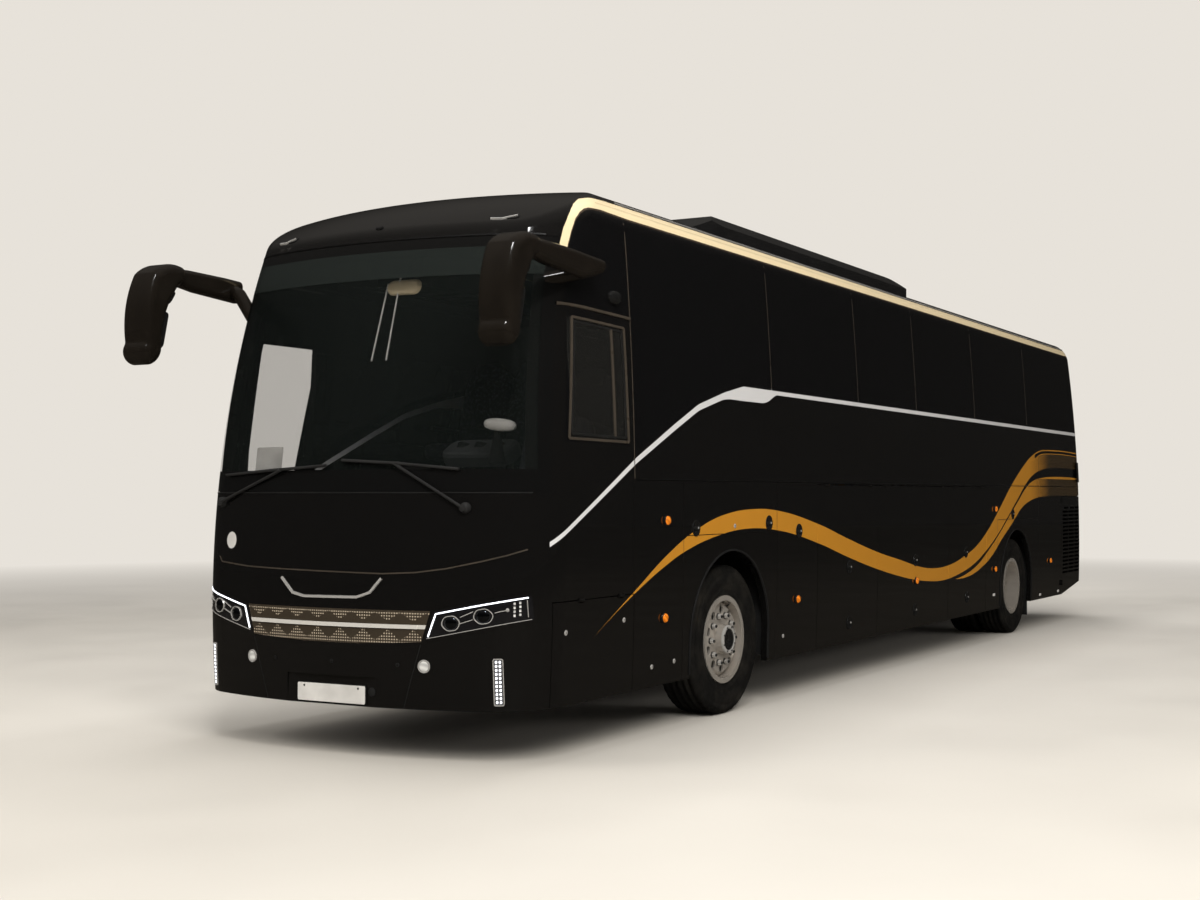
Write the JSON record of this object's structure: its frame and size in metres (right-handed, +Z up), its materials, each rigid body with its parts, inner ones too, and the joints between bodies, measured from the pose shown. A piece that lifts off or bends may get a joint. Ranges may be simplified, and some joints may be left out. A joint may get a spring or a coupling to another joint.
{
  "type": "touring coach bus",
  "caption": "High-floor touring coach with bonded side glass, bowed windscreen, luggage holds, opening doors and lids, steered front wheels and twin rear wheels.",
  "frame": {"origin": "on the ground under the middle of the coach's overall length and width", "axes": "+Z up, -Y toward the nose, +X toward the coach's left (driver's) side"},
  "size_m": [2.85, 13.069, 3.6116],
  "materials": {
    "black_paint": "high gloss clear coat",
    "satin_black": "satin",
    "black_plastic": "gloss",
    "matt_plastic": "grained",
    "tinted_glass": "dark tint",
    "screen_glass": "light tint",
    "lamp_glass": "clear",
    "red_lens": "ribbed",
    "bronze_grille": "satin bronze",
    "chassis_black": "underbody coating",
    "floor_vinyl": "vinyl floor",
    "seat_fabric": "moquette",
    "tyre": "rubber",
    "polished_alloy": "polished",
    "cast_steel": "cast"
  },
  "bodies": {
    "coach_body": {"left_side_wall": "black_paint", "right_side_wall": "black_paint", "roof_panel": "black_paint", "front_dome": "black_paint", "front_panel": "black_paint", "front_bumper": "black_paint", "rear_wall": "black_paint", "roof_ac_unit": "black_plastic", "mirrors": "black_plastic", "dashboard": "matt_plastic", "luggage_racks": "matt_plastic", "wipers": "matt_plastic", "body_windows": "tinted_glass", "windscreen": "screen_glass", "front_lamps": "lamp_glass", "tail_lamps": "red_lens", "front_grille": "bronze_grille", "underframe": "chassis_black", "floor_deck": "floor_vinyl", "seats": "seat_fabric", "front_axle": "cast_steel", "rear_axle": "cast_steel", "engine_block": "cast_steel"},
    "entrance_door": {"entrance_door": "black_paint", "door_glass": "screen_glass"},
    "door_arms": {"door_arms": "chassis_black"},
    "service_flap_left": {"service_flap_left": "black_paint"},
    "radiator_door_left": {"radiator_door_left": "black_paint"},
    "engine_lid": {"engine_lid": "black_paint"},
    "knuckle_left": {"knuckle_left": "cast_steel"},
    "knuckle_right": {"knuckle_right": "cast_steel"},
    "front_wheel_left": {"front_tyre_left": "tyre", "front_rim_left": "polished_alloy"},
    "front_wheel_right": {"front_tyre_right": "tyre", "front_rim_right": "polished_alloy"},
    "rear_wheels_left": {"rear_tyres_left": "tyre", "rear_rims_left": "polished_alloy"},
    "rear_wheels_right": {"rear_tyres_right": "tyre", "rear_rims_right": "polished_alloy"},
    "luggage_door_left_front": {"luggage_door_left_front": "black_paint"},
    "luggage_door_left_middle": {"luggage_door_left_middle": "black_paint"},
    "luggage_door_left_rear": {"luggage_door_left_rear": "black_paint"},
    "luggage_door_right_front": {"luggage_door_right_front": "black_paint"},
    "luggage_door_right_middle": {"luggage_door_right_middle": "black_paint"},
    "luggage_door_right_rear": {"luggage_door_right_rear": "black_paint"}
  },
  "joints": [
    {"name": "luggage_door_left_front_hinge", "type": "hinge", "parent": "coach_body", "child": "luggage_door_left_front", "pos_m": [1.2729, 0, 1.594], "axis": [0, -1, 0], "range_deg": [0, 85]},
    {"name": "luggage_door_left_middle_hinge", "type": "hinge", "parent": "coach_body", "child": "luggage_door_left_middle", "pos_m": [1.2729, 0, 1.594], "axis": [0, -1, 0], "range_deg": [0, 85]},
    {"name": "luggage_door_left_rear_hinge", "type": "hinge", "parent": "coach_body", "child": "luggage_door_left_rear", "pos_m": [1.2729, 0, 1.594], "axis": [0, -1, 0], "range_deg": [0, 85]},
    {"name": "luggage_door_right_front_hinge", "type": "hinge", "parent": "coach_body", "child": "luggage_door_right_front", "pos_m": [-1.2729, 0, 1.594], "axis": [0, 1, 0], "range_deg": [0, 85]},
    {"name": "luggage_door_right_middle_hinge", "type": "hinge", "parent": "coach_body", "child": "luggage_door_right_middle", "pos_m": [-1.2729, 0, 1.594], "axis": [0, 1, 0], "range_deg": [0, 85]},
    {"name": "luggage_door_right_rear_hinge", "type": "hinge", "parent": "coach_body", "child": "luggage_door_right_rear", "pos_m": [-1.2729, 0, 1.594], "axis": [0, 1, 0], "range_deg": [0, 85]},
    {"name": "service_flap_hinge", "type": "hinge", "parent": "coach_body", "child": "service_flap_left", "pos_m": [1.2749, -5.375, 0.905], "axis": [0, -1, 0], "range_deg": [0, 80]},
    {"name": "radiator_door_hinge", "type": "hinge", "parent": "coach_body", "child": "radiator_door_left", "pos_m": [1.276, 5.279, 0.96], "axis": [0, 0, -1], "range_deg": [0, 100]},
    {"name": "engine_lid_hinge", "type": "hinge", "parent": "coach_body", "child": "engine_lid", "pos_m": [0, 6.4585, 1.56], "axis": [1, 0, 0], "range_deg": [0, 80]},
    {"name": "door_arm_swing", "type": "hinge", "parent": "coach_body", "child": "door_arms", "pos_m": [-1.13, -5.64, 1.5], "axis": [0, 0, 1], "range_deg": [0, 110]},
    {"name": "door_pivot", "type": "hinge", "parent": "door_arms", "child": "entrance_door", "pos_m": [-1.13, -5.11, 1.5], "axis": [0, 0, 1], "range_deg": [-110, 0]},
    {"name": "steer_left", "type": "hinge", "parent": "coach_body", "child": "knuckle_left", "pos_m": [0.94, -3.64, 0.515], "axis": [0, 0, 1], "range_deg": [-42, 42]},
    {"name": "steer_right", "type": "hinge", "parent": "coach_body", "child": "knuckle_right", "pos_m": [-0.94, -3.64, 0.515], "axis": [0, 0, 1], "range_deg": [-42, 42]},
    {"name": "front_wheel_left_spin", "type": "hinge", "parent": "knuckle_left", "child": "front_wheel_left", "pos_m": [1.085, -3.64, 0.515], "axis": [1, 0, 0], "continuous": true},
    {"name": "rear_wheels_left_spin", "type": "hinge", "parent": "coach_body", "child": "rear_wheels_left", "pos_m": [1.085, 3.36, 0.515], "axis": [1, 0, 0], "continuous": true},
    {"name": "front_wheel_right_spin", "type": "hinge", "parent": "knuckle_right", "child": "front_wheel_right", "pos_m": [-1.085, -3.64, 0.515], "axis": [1, 0, 0], "continuous": true},
    {"name": "rear_wheels_right_spin", "type": "hinge", "parent": "coach_body", "child": "rear_wheels_right", "pos_m": [-1.085, 3.36, 0.515], "axis": [1, 0, 0], "continuous": true}
  ],
  "couplings": [
    {"joint": "door_pivot", "follows": "door_arm_swing", "ratio": -1},
    {"joint": "steer_right", "follows": "steer_left", "ratio": 1}
  ]
}
